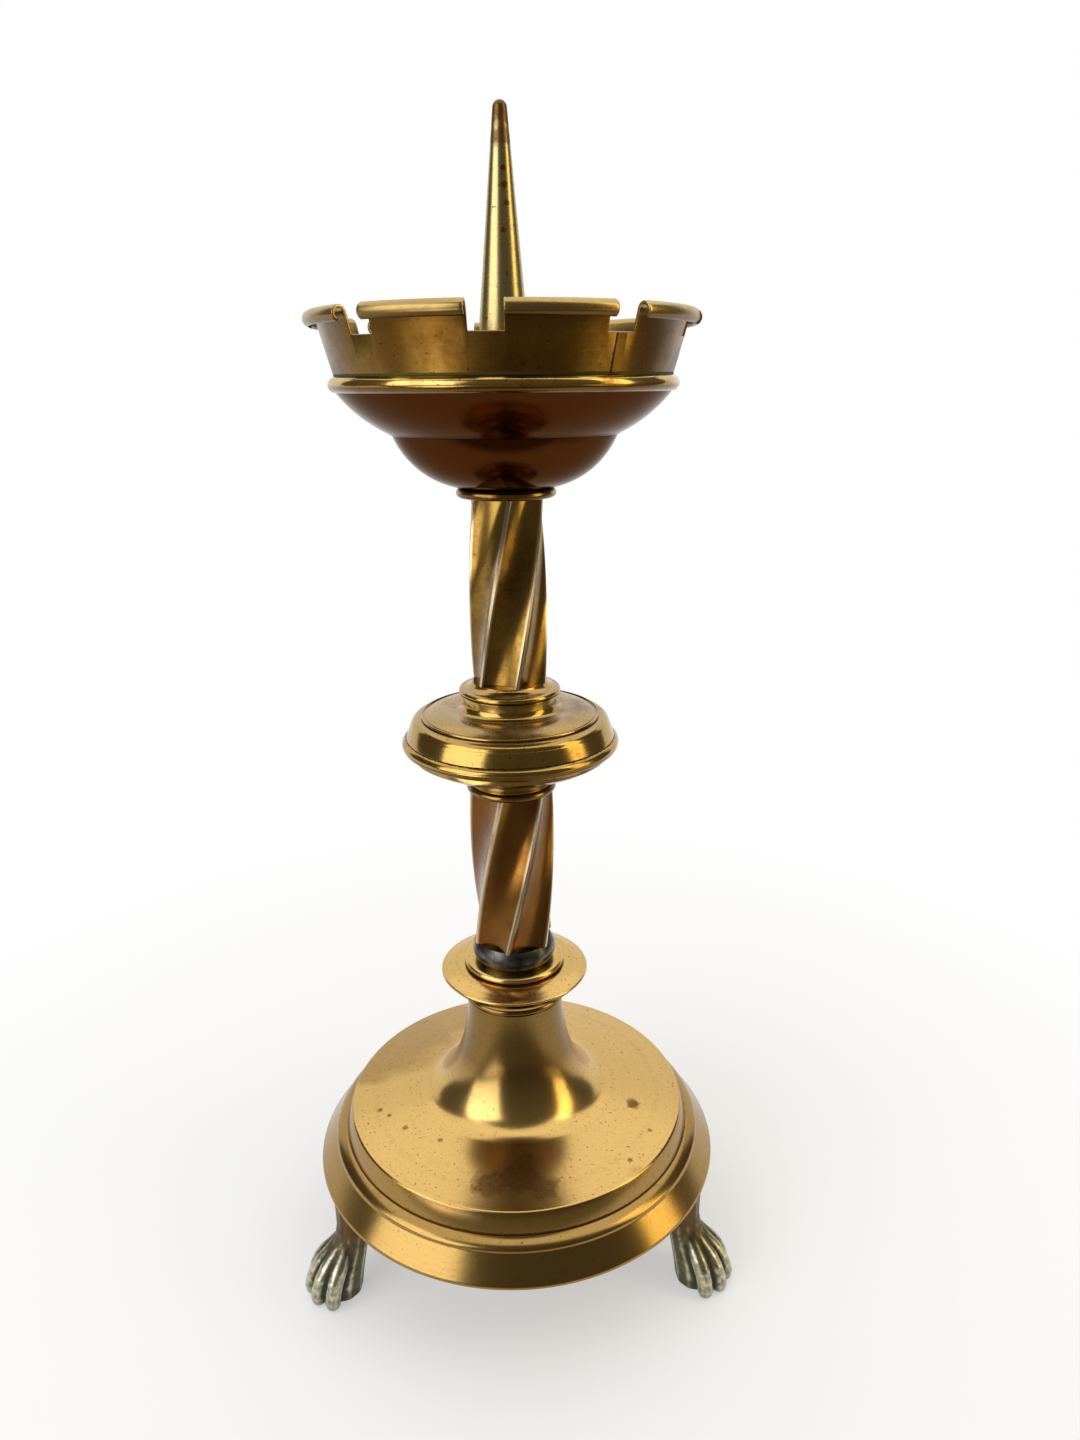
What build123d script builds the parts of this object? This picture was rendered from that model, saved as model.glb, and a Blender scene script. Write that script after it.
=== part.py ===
"""Pricket candle stand: a brass altar stick with a battlemented pan, twisted stems, a knop and paw feet.

Millimetres, +Z up. The origin lies on the stand's axis, on the surface that the feet rest on. All pieces but
the feet are threaded on one iron rod, so their heights add up from the skirt to the tip of the spike.
"""

import os
from math import asin, atan2, cos, degrees, radians, sin, tan

from build123d import *

os.makedirs("parts", exist_ok=True)

# Fits that the whole stand shares
rod_room = 0.25
thread_room = 0.05
solder_room = 0.05
tap_spare = 2.0
cut_overrun = 4.0

# Tie rod, and the thread at its top that the pricket screws on
rod_r = 3.97
rod_tail = 4.0
rod_chamfer = 0.7
thread_pitch = 1.411
thread_turns = 8

# Nut and washer under the neck of the base
nut_flats = 13.0
nut_h = 6.5
base_washer_r = 10.5
base_washer_t = 1.6

# Paw feet and the studs that hold them
foot_names = ("foot_back", "foot_left", "foot_right")
foot_first_angle = 90.0
foot_lift = 33.3
ankle_edge_w = 6.0
paw_w = 18.0
toe_r = 2.7
toe_bend_r = 8.3
toe_bend_z = 6.5
toe_bend_w = 7.0
toe_fan_w = 0.4
toe_angles = (-24.6, -8.2, 8.2, 24.6)
toe_from_angle = 120.0
toe_turn = 180.0
stud_r = 2.4
stud_hold = 6.0

# Base rim: bored ring with a splayed skirt, a rounded ledge and a spigot for the dome
skirt_r = 72.0
skirt_edge_h = 1.0
skirt_h = 8.9
skirt_splay_w = 5.8
ledge_w = 3.8
ledge_h = 3.0
ledge_crown_h = 0.5
rim_land_w = 6.75
rim_spigot_h = 3.0

# Base dome: upright band, sloping disc and trumpet up to the neck
dome_wall = 2.6
band_h = 7.0
band_batter_w = 2.3
disc_edge_fillet = 0.7
disc_slope = 7.6
flare_w = 19.0
flare_h = 39.0
neck_r = 16.8
neck_lip_w = 1.1
neck_lip_h = 2.8
neck_web_t = 5.0

# Base collar: foot fillet, bun and top lip
collar_foot_h = 2.6
bun_waist_w = 0.7
bun_w = 7.1
bun_h = 7.0
collar_lip_w = 1.2
collar_lip_h = 2.6

# Grey packing ring at the foot of the lower stem
packing_r = 14.4
packing_top_r = 12.9
packing_h = 7.4

# Twisted stems: crest radius, length, depth of a flute, twist and the angle of the first crest
flute_count = 6
flute_land = 0.9
stem_bore_r = 5.5
stem_lower_r = 14.1
stem_lower_h = 55.8
stem_lower_depth = 3.0
stem_lower_twist = 54.0
stem_lower_start = -99.0
stem_upper_r = 12.2
stem_upper_h = 58.2
stem_upper_depth = 2.6
stem_upper_twist = 53.0
stem_upper_start = -139.0

# Knop: ring, lower shell, bead, upper shell and dished collar
knop_wall = 2.0
knop_lip_r = 14.9
knop_lip_h = 2.6
knop_ring_h = 6.7
knop_seat_r = 13.8
knop_brim_w = 3.3
knop_brim_h = 1.9
knop_lower_h = 8.4
knop_lower_bulge = 1.2
knop_bead_r = 35.5
knop_bead_h = 4.2
knop_bead_land = 4.0
knop_band_w = 1.4
knop_band_batter_w = 1.7
knop_band_h = 4.4
knop_ovolo_w = 3.4
knop_ovolo_h = 2.2
knop_ovolo_bulge = 0.8
knop_fillet_h = 1.0
knop_groove_w = 0.8
knop_groove_depth = 0.4
knop_shoulder_h = 1.2
knop_neck_r = 15.1
knop_cove_r = 2.7
knop_neck_h = 2.4
knop_collar_r = 16.5
knop_collar_edge_h = 2.4
knop_collar_h = 4.2

# Pan: collar, cup, bowl, belt and gallery
pan_collar_r = 15.4
pan_collar_h = 2.9
cup_wall = 1.5
cup_foot_r = 13.8
cup_mouth_r = 33.8
cup_h = 15.6
cup_bulge = 3.35
bowl_wall = 1.2
bowl_floor_t = 1.5
bowl_foot_w = 0.5
bowl_lip_r = 49.5
bowl_h = 12.3
bowl_lip_h = 2.0
bowl_bulge = 1.1
belt_w = 2.0
belt_h = 4.4
gallery_t = 0.9
gallery_h = 19.8
gallery_lean = 15.3
curl_r = 2.2
curl_end_angle = -75.0
notch_count = 9
notch_first_angle = -94.8
notch_w = 9.5
notch_depth = 7.4

# Pricket and its washer
pricket_foot_r = 9.5
pricket_tip_r = 2.05
pricket_h = 85.1
pricket_washer_r = 12.5
pricket_washer_t = 1.6

# Radii that step in from the skirt's edge, out from the neck, in from the knop's bead and out from the pan
ledge_r = skirt_r - skirt_splay_w
band_r = ledge_r - ledge_w
spigot_r = band_r - dome_wall - solder_room
rim_bore_r = spigot_r - rim_land_w
disc_r = band_r - band_batter_w
ankle_r = skirt_r - ankle_edge_w
neck_lip_r = neck_r + neck_lip_w
bun_waist_r = neck_lip_r + bun_waist_w
bun_r = bun_waist_r + bun_w
collar_lip_r = bun_waist_r - collar_lip_w
knop_brim_r = knop_bead_r - knop_brim_w
knop_band_low_r = knop_bead_r - knop_band_w
knop_band_top_r = knop_band_low_r - knop_band_batter_w
knop_ovolo_r = knop_band_top_r - knop_ovolo_w
bowl_foot_r = cup_mouth_r + bowl_foot_w
belt_r = bowl_lip_r + belt_w

# Heights of the seats, from the surface upward
skirt_z = foot_lift
ledge_z = skirt_z + skirt_h
band_z = ledge_z + ledge_h
disc_z = band_z + band_h
slope_rise = tan(radians(disc_slope))
flare_turn = atan2(flare_h, flare_w * slope_rise)
flare_foot_r = neck_r + flare_w * (1 - cos(flare_turn))
flare_foot_z = disc_z + (disc_r - flare_foot_r) * slope_rise
neck_z = flare_foot_z + flare_h * sin(flare_turn)
dome_top_z = neck_z + neck_lip_h
collar_top_z = dome_top_z + collar_foot_h + bun_h + collar_lip_h
stem_lower_z = collar_top_z + packing_h
knop_ring_z = stem_lower_z + stem_lower_h
knop_lower_z = knop_ring_z + knop_ring_h
knop_bead_z = knop_lower_z + knop_lower_h
knop_upper_z = knop_bead_z + knop_bead_h
knop_ovolo_z = knop_upper_z + knop_band_h
knop_fillet_z = knop_ovolo_z + knop_ovolo_h
knop_edge_z = knop_fillet_z + knop_fillet_h
knop_cove_z = knop_edge_z + knop_shoulder_h
knop_collar_z = knop_cove_z + knop_cove_r + knop_neck_h
stem_upper_z = knop_collar_z + knop_collar_h
pan_collar_z = stem_upper_z + stem_upper_h
cup_z = pan_collar_z + pan_collar_h
bowl_z = cup_z + cup_h
bowl_lip_z = bowl_z + bowl_h
gallery_z = bowl_lip_z + bowl_lip_h
pricket_washer_z = bowl_z + bowl_floor_t
pricket_z = pricket_washer_z + pricket_washer_t

rod_hole_r = rod_r + rod_room
thread_hold = thread_pitch * thread_turns


def ring_section(bore_r, crown_r, low_z, high_z):
    """Half section of a turned ring with a half-round edge."""
    edge_r = crown_r - (high_z - low_z) / 2
    with BuildSketch(Plane.XZ) as section:
        with BuildLine():
            ThreePointArc((edge_r, low_z), (crown_r, (low_z + high_z) / 2), (edge_r, high_z))
            Polyline((edge_r, high_z), (bore_r, high_z), (bore_r, low_z), (edge_r, low_z))
        make_face()
    return section.sketch


def washer_section(bore_r, edge_r, low_z, thickness):
    """Half section of a plain flat washer."""
    with BuildSketch(Plane.XZ) as section:
        with BuildLine():
            Polyline(
                (bore_r, low_z),
                (edge_r, low_z),
                (edge_r, low_z + thickness),
                (bore_r, low_z + thickness),
                close=True,
            )
        make_face()
    return section.sketch


def fluted_section(crest_r, depth, start_angle, low_z):
    """Cross-section of a stem: narrow lands on the crest circle with a hollow flute between each pair."""
    pitch = 360 / flute_count
    half_land = degrees(flute_land / crest_r) / 2
    with BuildSketch(Plane.XY.offset(low_z)) as section:
        with BuildLine():
            for flute in range(flute_count):
                crest = start_angle + flute * pitch
                leaving = (crest_r, crest + half_land)
                arriving = (crest_r, crest + pitch - half_land)
                hollow = (crest_r - depth, crest + pitch / 2)
                land_from = (crest_r, crest - half_land)
                land_mid = (crest_r, crest)
                ThreePointArc(polar(*land_from), polar(*land_mid), polar(*leaving))
                ThreePointArc(polar(*leaving), polar(*hollow), polar(*arriving))
        make_face()
    return section.sketch


def polar(radius, angle):
    """Point at a radius and an angle in degrees."""
    return (radius * cos(radians(angle)), radius * sin(radians(angle)))


def foot_plane(angle, reach, height):
    """Level plane at a foot, with its x axis pointing outward."""
    return Plane(origin=(*polar(reach, angle), height), x_dir=(*polar(1, angle), 0), z_dir=(0, 0, 1))


# Tie rod: from the tail below the base nut up into the pricket's tapped foot
nut_z = dome_top_z - neck_web_t - base_washer_t - nut_h
rod_top_z = pricket_z + thread_hold
with BuildPart() as tie_rod:
    with BuildSketch(Plane.XY.offset(nut_z - rod_tail)):
        Circle(rod_r)
    extrude(amount=rod_top_z - nut_z + rod_tail)
    chamfer(tie_rod.edges().filter_by(GeomType.CIRCLE), length=rod_chamfer)
tie_rod.part.label = "tie_rod"
export_step(tie_rod.part, "parts/tie_rod.step")

# Base washer: bears on the underside of the neck's web
with BuildPart() as base_washer:
    revolve(washer_section(rod_hole_r, base_washer_r, nut_z + nut_h, base_washer_t), axis=Axis.Z)
base_washer.part.label = "base_washer"
export_step(base_washer.part, "parts/base_washer.step")

# Base nut: pulls the rod and so the whole stack down on the base
with BuildPart() as base_nut:
    with BuildSketch(Plane.XY.offset(nut_z)):
        RegularPolygon(nut_flats / 2, 6, major_radius=False)
        Circle(rod_r + thread_room, mode=Mode.SUBTRACT)
    extrude(amount=nut_h)
base_nut.part.label = "base_nut"
export_step(base_nut.part, "parts/base_nut.step")

# Paw feet: ankle swelling into a paw, with four bent toes that curl down to the surface. Each section gives
# its height as a share of the lift, then its outward shift, half length and half width as shares of the paw
paw_section_shares = (
    (0.00, 0.42, 0.30, 0.28),
    (0.13, 0.41, 0.37, 0.36),
    (0.26, 0.33, 0.38, 0.39),
    (0.40, 0.20, 0.35, 0.35),
    (0.55, 0.09, 0.30, 0.29),
    (0.74, 0.02, 0.28, 0.27),
    (1.00, 0.00, 0.30, 0.31),
)
for place, foot_name in enumerate(foot_names):
    foot_angle = foot_first_angle + place * 360 / len(foot_names)
    with BuildPart() as foot:
        for height_share, shift_share, length_share, width_share in paw_section_shares:
            reach = ankle_r + shift_share * paw_w
            with BuildSketch(foot_plane(foot_angle, reach, height_share * foot_lift)):
                Ellipse(length_share * paw_w, width_share * paw_w)
        loft()
        for toe_angle in toe_angles:
            toe_out = Vector(*polar(1, foot_angle + toe_angle), 0)
            toe_side = Vector(0, 0, 1).cross(toe_out)
            toe_start = toe_out.rotate(Axis((0, 0, 0), toe_side), -toe_from_angle)
            bend = Vector(*polar(ankle_r - toe_fan_w, foot_angle), toe_bend_z) + toe_out * toe_bend_w
            toe_root = bend + toe_start * toe_bend_r
            with BuildSketch(Plane(origin=toe_root, x_dir=toe_start, z_dir=toe_side.cross(toe_start))):
                Circle(toe_r)
            revolve(axis=Axis(bend, toe_side), revolution_arc=toe_turn)
        split(bisect_by=Plane.XY, keep=Keep.TOP)
        with BuildSketch(foot_plane(foot_angle, ankle_r, foot_lift)):
            Circle(stud_r + thread_room)
        extrude(amount=-stud_hold - tap_spare, mode=Mode.SUBTRACT)
    foot.part.label = foot_name
    export_step(foot.part, f"parts/{foot_name}.step")

# Foot studs: headless screws, half in each foot and half in the rim
with BuildPart() as foot_studs:
    with BuildSketch(Plane.XY.offset(skirt_z - stud_hold)):
        with PolarLocations(ankle_r, len(foot_names), foot_first_angle):
            Circle(stud_r)
    extrude(amount=2 * stud_hold)
foot_studs.part.label = "foot_studs"
export_step(foot_studs.part, "parts/foot_studs.step")

# Base rim: flat underside for the feet, tapped blind for their studs
with BuildPart() as base_rim:
    with BuildSketch(Plane.XZ):
        with BuildLine():
            Polyline(
                (rim_bore_r, skirt_z),
                (skirt_r, skirt_z),
                (skirt_r, skirt_z + skirt_edge_h),
                (ledge_r, ledge_z),
            )
            SagittaArc((ledge_r, ledge_z), (band_r, band_z), -ledge_crown_h)
            Polyline(
                (band_r, band_z),
                (spigot_r, band_z),
                (spigot_r, band_z + rim_spigot_h),
                (rim_bore_r, band_z + rim_spigot_h),
                (rim_bore_r, skirt_z),
            )
        make_face()
    revolve(axis=Axis.Z)
    with BuildSketch(Plane.XY.offset(skirt_z)):
        with PolarLocations(ankle_r, len(foot_names), foot_first_angle):
            Circle(stud_r + thread_room)
    extrude(amount=stud_hold + solder_room, mode=Mode.SUBTRACT)
base_rim.part.label = "base_rim"
export_step(base_rim.part, "parts/base_rim.step")

# Base dome: the trumpet is a quarter ellipse that runs out into the disc, with its wall of even thickness
with BuildPart() as base_dome:
    flare_middle = (neck_r + flare_w, neck_z)
    inner_w = flare_w + dome_wall
    inner_h = flare_h + dome_wall
    inner_start = 180 + degrees(asin((neck_web_t - neck_lip_h) / inner_h))
    inner_turn = 180 + degrees(atan2(inner_h, inner_w * slope_rise)) - inner_start
    band_in_r = band_r - dome_wall
    with BuildSketch(Plane.XZ):
        with BuildLine():
            outside = EllipticalCenterArc(flare_middle, flare_w, flare_h, 180, arc_size=degrees(flare_turn))
            inside = EllipticalCenterArc(flare_middle, inner_w, inner_h, inner_start, arc_size=inner_turn)
            Polyline(outside @ 1, (disc_r, disc_z), (band_r, band_z), (band_in_r, band_z))
            inside_foot = inside @ 1
            Polyline(
                (band_in_r, band_z),
                (band_in_r, inside_foot.Y - (band_in_r - inside_foot.X) * slope_rise),
                inside_foot,
            )
            Polyline(
                inside @ 0,
                (rod_hole_r, dome_top_z - neck_web_t),
                (rod_hole_r, dome_top_z),
                (neck_lip_r, dome_top_z),
                (neck_lip_r, neck_z),
                outside @ 0,
            )
        make_face()
    revolve(axis=Axis.Z)
    turned_edges = base_dome.edges().filter_by(GeomType.CIRCLE)
    disc_edge = turned_edges.sort_by(lambda edge: abs(edge.radius - disc_r))[0]
    fillet(disc_edge, radius=disc_edge_fillet)
base_dome.part.label = "base_dome"
export_step(base_dome.part, "parts/base_dome.step")

# Base collar: a bun between a foot fillet and a lip that takes the packing ring
with BuildPart() as base_collar:
    bun_z = dome_top_z + collar_foot_h
    lip_z = bun_z + bun_h
    with BuildSketch(Plane.XZ):
        with BuildLine():
            Polyline((bun_waist_r, bun_z), (neck_lip_r, bun_z), (neck_lip_r, dome_top_z))
            EllipticalCenterArc(
                (bun_waist_r, bun_z + bun_h / 2), bun_r - bun_waist_r, bun_h / 2, -90, arc_size=180
            )
            Polyline(
                (bun_waist_r, lip_z),
                (collar_lip_r - collar_lip_h / 2, lip_z),
            )
            ThreePointArc(
                (collar_lip_r - collar_lip_h / 2, lip_z),
                (collar_lip_r, lip_z + collar_lip_h / 2),
                (collar_lip_r - collar_lip_h / 2, collar_top_z),
            )
            Polyline(
                (collar_lip_r - collar_lip_h / 2, collar_top_z),
                (rod_hole_r, collar_top_z),
                (rod_hole_r, dome_top_z),
                (neck_lip_r, dome_top_z),
            )
        make_face()
    revolve(axis=Axis.Z)
base_collar.part.label = "base_collar"
export_step(base_collar.part, "parts/base_collar.step")

# Packing ring: grey cushion-shaped ring that beds the lower stem
with BuildPart() as stem_packing:
    with BuildSketch(Plane.XZ):
        with BuildLine():
            ThreePointArc(
                (packing_top_r, collar_top_z),
                (packing_r, (collar_top_z + stem_lower_z) / 2),
                (packing_top_r, stem_lower_z),
            )
            Polyline(
                (packing_top_r, stem_lower_z),
                (rod_hole_r, stem_lower_z),
                (rod_hole_r, collar_top_z),
                (packing_top_r, collar_top_z),
            )
        make_face()
    revolve(axis=Axis.Z)
stem_packing.part.label = "stem_packing"
export_step(stem_packing.part, "parts/stem_packing.step")

# Lower stem: cast with a cored bore, its crests climbing to the right
with BuildPart() as stem_lower:
    lower_section = fluted_section(stem_lower_r, stem_lower_depth, stem_lower_start, stem_lower_z)
    add(
        Solid.extrude_linear_with_rotation(
            lower_section.face(), (0, 0, stem_lower_z), (0, 0, stem_lower_h), stem_lower_twist
        )
    )
    with BuildSketch(Plane.XY.offset(stem_lower_z)):
        Circle(stem_bore_r)
    extrude(amount=stem_lower_h, mode=Mode.SUBTRACT)
stem_lower.part.label = "stem_lower"
export_step(stem_lower.part, "parts/stem_lower.step")

# Knop foot ring: plain waist under the shell with a half-round lip on the lower stem
with BuildPart() as knop_foot_ring:
    lip_edge_r = knop_lip_r - knop_lip_h / 2
    lip_top_z = knop_ring_z + knop_lip_h
    with BuildSketch(Plane.XZ):
        with BuildLine():
            ThreePointArc(
                (lip_edge_r, knop_ring_z),
                (knop_lip_r, knop_ring_z + knop_lip_h / 2),
                (lip_edge_r, lip_top_z),
            )
            Polyline(
                (lip_edge_r, lip_top_z),
                (knop_seat_r, knop_lower_z),
                (rod_hole_r, knop_lower_z),
                (rod_hole_r, knop_ring_z),
                (lip_edge_r, knop_ring_z),
            )
        make_face()
    revolve(axis=Axis.Z)
knop_foot_ring.part.label = "knop_foot_ring"
export_step(knop_foot_ring.part, "parts/knop_foot_ring.step")

# Knop lower shell: a shallow bowl with a brim that carries the bead
with BuildPart() as knop_lower:
    brim_z = knop_bead_z - knop_brim_h
    with BuildSketch(Plane.XZ):
        with BuildLine():
            SagittaArc((knop_seat_r, knop_lower_z), (knop_brim_r, brim_z), -knop_lower_bulge)
            Polyline(
                (knop_brim_r, brim_z),
                (knop_brim_r, knop_bead_z),
                (knop_brim_r - knop_wall, knop_bead_z),
                (knop_brim_r - knop_wall, brim_z),
            )
            SagittaArc(
                (knop_brim_r - knop_wall, brim_z),
                (knop_seat_r, knop_lower_z + knop_wall),
                knop_lower_bulge,
            )
            Polyline(
                (knop_seat_r, knop_lower_z + knop_wall),
                (rod_hole_r, knop_lower_z + knop_wall),
                (rod_hole_r, knop_lower_z),
                (knop_seat_r, knop_lower_z),
            )
        make_face()
    revolve(axis=Axis.Z)
knop_lower.part.label = "knop_lower"
export_step(knop_lower.part, "parts/knop_lower.step")

# Knop bead: half-round ring clamped between the two shells
with BuildPart() as knop_bead:
    bead_bore_r = knop_brim_r - knop_bead_land
    revolve(ring_section(bead_bore_r, knop_bead_r, knop_bead_z, knop_upper_z), axis=Axis.Z)
knop_bead.part.label = "knop_bead"
export_step(knop_bead.part, "parts/knop_bead.step")

# Knop upper shell: splayed band, quarter round, fillet, groove, sloping shoulder and a cove up to the neck
with BuildPart() as knop_upper:
    fillet_r = knop_ovolo_r - knop_fillet_h / 2
    shoulder_r = fillet_r - knop_groove_w
    cove_foot_r = knop_neck_r + knop_cove_r
    with BuildSketch(Plane.XZ):
        with BuildLine():
            Line((knop_band_low_r, knop_upper_z), (knop_band_top_r, knop_ovolo_z))
            SagittaArc(
                (knop_band_top_r, knop_ovolo_z),
                (knop_ovolo_r, knop_fillet_z),
                -knop_ovolo_bulge,
            )
            Line((knop_ovolo_r, knop_fillet_z), (fillet_r, knop_fillet_z))
            ThreePointArc(
                (fillet_r, knop_fillet_z),
                (knop_ovolo_r, knop_fillet_z + knop_fillet_h / 2),
                (fillet_r, knop_edge_z),
            )
            Polyline(
                (fillet_r, knop_edge_z),
                (fillet_r, knop_edge_z - knop_groove_depth),
                (shoulder_r, knop_edge_z - knop_groove_depth),
                (shoulder_r, knop_edge_z),
                (cove_foot_r, knop_cove_z),
            )
            RadiusArc((cove_foot_r, knop_cove_z), (knop_neck_r, knop_cove_z + knop_cove_r), knop_cove_r)
            Polyline(
                (knop_neck_r, knop_cove_z + knop_cove_r),
                (knop_neck_r, knop_collar_z),
                (rod_hole_r, knop_collar_z),
                (rod_hole_r, knop_collar_z - knop_wall),
                (knop_neck_r - knop_wall, knop_collar_z - knop_wall),
                (cove_foot_r - knop_wall, knop_cove_z - knop_wall),
                (knop_ovolo_r - knop_wall, knop_fillet_z - knop_groove_depth),
                (knop_band_top_r - knop_wall, knop_ovolo_z - knop_fillet_h),
                (knop_band_low_r - knop_wall, knop_upper_z),
                (knop_band_low_r, knop_upper_z),
            )
        make_face()
    revolve(axis=Axis.Z)
knop_upper.part.label = "knop_upper"
export_step(knop_upper.part, "parts/knop_upper.step")

# Knop collar: rounded edge and a dished top that takes the foot of the upper stem
with BuildPart() as knop_collar:
    collar_edge_r = knop_collar_r - knop_collar_edge_h / 2
    collar_edge_top_z = knop_collar_z + knop_collar_edge_h
    with BuildSketch(Plane.XZ):
        with BuildLine():
            ThreePointArc(
                (collar_edge_r, knop_collar_z),
                (knop_collar_r, knop_collar_z + knop_collar_edge_h / 2),
                (collar_edge_r, collar_edge_top_z),
            )
            SagittaArc(
                (collar_edge_r, collar_edge_top_z),
                (stem_upper_r, stem_upper_z),
                (stem_upper_z - collar_edge_top_z) / 4,
            )
            Polyline(
                (stem_upper_r, stem_upper_z),
                (rod_hole_r, stem_upper_z),
                (rod_hole_r, knop_collar_z),
                (collar_edge_r, knop_collar_z),
            )
        make_face()
    revolve(axis=Axis.Z)
knop_collar.part.label = "knop_collar"
export_step(knop_collar.part, "parts/knop_collar.step")

# Upper stem: as the lower one, slimmer and a little longer
with BuildPart() as stem_upper:
    upper_section = fluted_section(stem_upper_r, stem_upper_depth, stem_upper_start, stem_upper_z)
    add(
        Solid.extrude_linear_with_rotation(
            upper_section.face(), (0, 0, stem_upper_z), (0, 0, stem_upper_h), stem_upper_twist
        )
    )
    with BuildSketch(Plane.XY.offset(stem_upper_z)):
        Circle(stem_bore_r)
    extrude(amount=stem_upper_h, mode=Mode.SUBTRACT)
stem_upper.part.label = "stem_upper"
export_step(stem_upper.part, "parts/stem_upper.step")

# Pan collar
with BuildPart() as pan_collar:
    revolve(ring_section(rod_hole_r, pan_collar_r, pan_collar_z, cup_z), axis=Axis.Z)
pan_collar.part.label = "pan_collar"
export_step(pan_collar.part, "parts/pan_collar.step")

# Pan cup: spun cup that carries the bowl on its mouth
with BuildPart() as pan_cup:
    with BuildSketch(Plane.XZ):
        with BuildLine():
            SagittaArc((cup_foot_r, cup_z), (cup_mouth_r, bowl_z), -cup_bulge)
            Line((cup_mouth_r, bowl_z), (cup_mouth_r - cup_wall, bowl_z))
            SagittaArc((cup_mouth_r - cup_wall, bowl_z), (cup_foot_r, cup_z + cup_wall), cup_bulge)
            Polyline(
                (cup_foot_r, cup_z + cup_wall),
                (rod_hole_r, cup_z + cup_wall),
                (rod_hole_r, cup_z),
                (cup_foot_r, cup_z),
            )
        make_face()
    revolve(axis=Axis.Z)
pan_cup.part.label = "pan_cup"
export_step(pan_cup.part, "parts/pan_cup.step")

# Pan bowl: spun with a flat floor and an upright lip
with BuildPart() as pan_bowl:
    bowl_floor_z = bowl_z + bowl_floor_t
    with BuildSketch(Plane.XZ):
        with BuildLine():
            SagittaArc((bowl_foot_r, bowl_z), (bowl_lip_r, bowl_lip_z), -bowl_bulge)
            Polyline(
                (bowl_lip_r, bowl_lip_z),
                (bowl_lip_r, gallery_z),
                (bowl_lip_r - bowl_wall, gallery_z),
                (bowl_lip_r - bowl_wall, bowl_lip_z),
            )
            SagittaArc((bowl_lip_r - bowl_wall, bowl_lip_z), (bowl_foot_r, bowl_floor_z), bowl_bulge)
            Polyline(
                (bowl_foot_r, bowl_floor_z),
                (rod_hole_r, bowl_floor_z),
                (rod_hole_r, bowl_z),
                (bowl_foot_r, bowl_z),
            )
        make_face()
    revolve(axis=Axis.Z)
pan_bowl.part.label = "pan_bowl"
export_step(pan_bowl.part, "parts/pan_bowl.step")

# Pan belt: half-round ring sweated over the joint of bowl and gallery
with BuildPart() as pan_belt:
    belt_bore_r = bowl_lip_r + solder_room
    belt_low_z = gallery_z - belt_h / 2
    with BuildSketch(Plane.XZ):
        with BuildLine():
            ThreePointArc((belt_bore_r, belt_low_z), (belt_r, gallery_z), (belt_bore_r, belt_low_z + belt_h))
            Line((belt_bore_r, belt_low_z + belt_h), (belt_bore_r, belt_low_z))
        make_face()
    revolve(axis=Axis.Z)
pan_belt.part.label = "pan_belt"
export_step(pan_belt.part, "parts/pan_belt.step")

# Pan gallery: leaning sheet wall with its top rolled outward into an open curl, then cut into battlements
with BuildPart() as pan_gallery:
    wall_z = gallery_z + belt_h / 2
    hook_r = curl_r - gallery_t
    lean = radians(gallery_lean)
    curl_z = gallery_z + gallery_h - curl_r
    wall_rise = curl_z + hook_r * sin(lean) - wall_z
    curl_mid_r = bowl_lip_r + wall_rise * tan(lean) + hook_r * cos(lean)
    curl_start_angle = 180 - gallery_lean
    curl_turn = curl_end_angle - curl_start_angle
    with BuildSketch(Plane.XZ):
        with BuildLine():
            crown = CenterArc((curl_mid_r, curl_z), curl_r, curl_start_angle, arc_size=curl_turn)
            hook = CenterArc((curl_mid_r, curl_z), hook_r, curl_start_angle, arc_size=curl_turn)
            Line(crown @ 1, hook @ 1)
            Polyline(
                hook @ 0,
                (bowl_lip_r, wall_z),
                (bowl_lip_r, gallery_z),
                (bowl_lip_r - gallery_t, gallery_z),
                (bowl_lip_r - gallery_t, wall_z),
                crown @ 0,
            )
        make_face()
    revolve(axis=Axis.Z)
    with BuildSketch(Plane.XY.offset(gallery_z + gallery_h - notch_depth)):
        with PolarLocations(curl_mid_r, notch_count, notch_first_angle):
            Rectangle(4 * curl_r + cut_overrun, notch_w)
    extrude(amount=notch_depth + cut_overrun, mode=Mode.SUBTRACT)
pan_gallery.part.label = "pan_gallery"
export_step(pan_gallery.part, "parts/pan_gallery.step")

# Pricket washer: lies on the pan's floor under the spike
with BuildPart() as pricket_washer:
    revolve(washer_section(rod_hole_r, pricket_washer_r, pricket_washer_z, pricket_washer_t), axis=Axis.Z)
pricket_washer.part.label = "pricket_washer"
export_step(pricket_washer.part, "parts/pricket_washer.step")

# Pricket: long cone with a rounded point, tapped in its foot for the rod
with BuildPart() as pricket:
    tip_z = pricket_z + pricket_h
    point_z = tip_z - pricket_tip_r
    with BuildSketch(Plane.XZ):
        with BuildLine():
            Polyline((0, pricket_z), (pricket_foot_r, pricket_z), (pricket_tip_r, point_z))
            RadiusArc((pricket_tip_r, point_z), (0, tip_z), -pricket_tip_r)
            Line((0, tip_z), (0, pricket_z))
        make_face()
    revolve(axis=Axis.Z)
    with BuildSketch(Plane.XY.offset(pricket_z)):
        Circle(rod_r + thread_room)
    extrude(amount=thread_hold + tap_spare, mode=Mode.SUBTRACT)
pricket.part.label = "pricket"
export_step(pricket.part, "parts/pricket.step")

print(f"height {tip_z:.2f}, pan top {gallery_z + gallery_h:.2f}, base top {dome_top_z:.2f}")
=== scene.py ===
from math import asin, atan2, copysign, cos, degrees, pi, radians, sin

import bmesh
import bpy
from mathutils import Matrix, Vector


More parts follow.
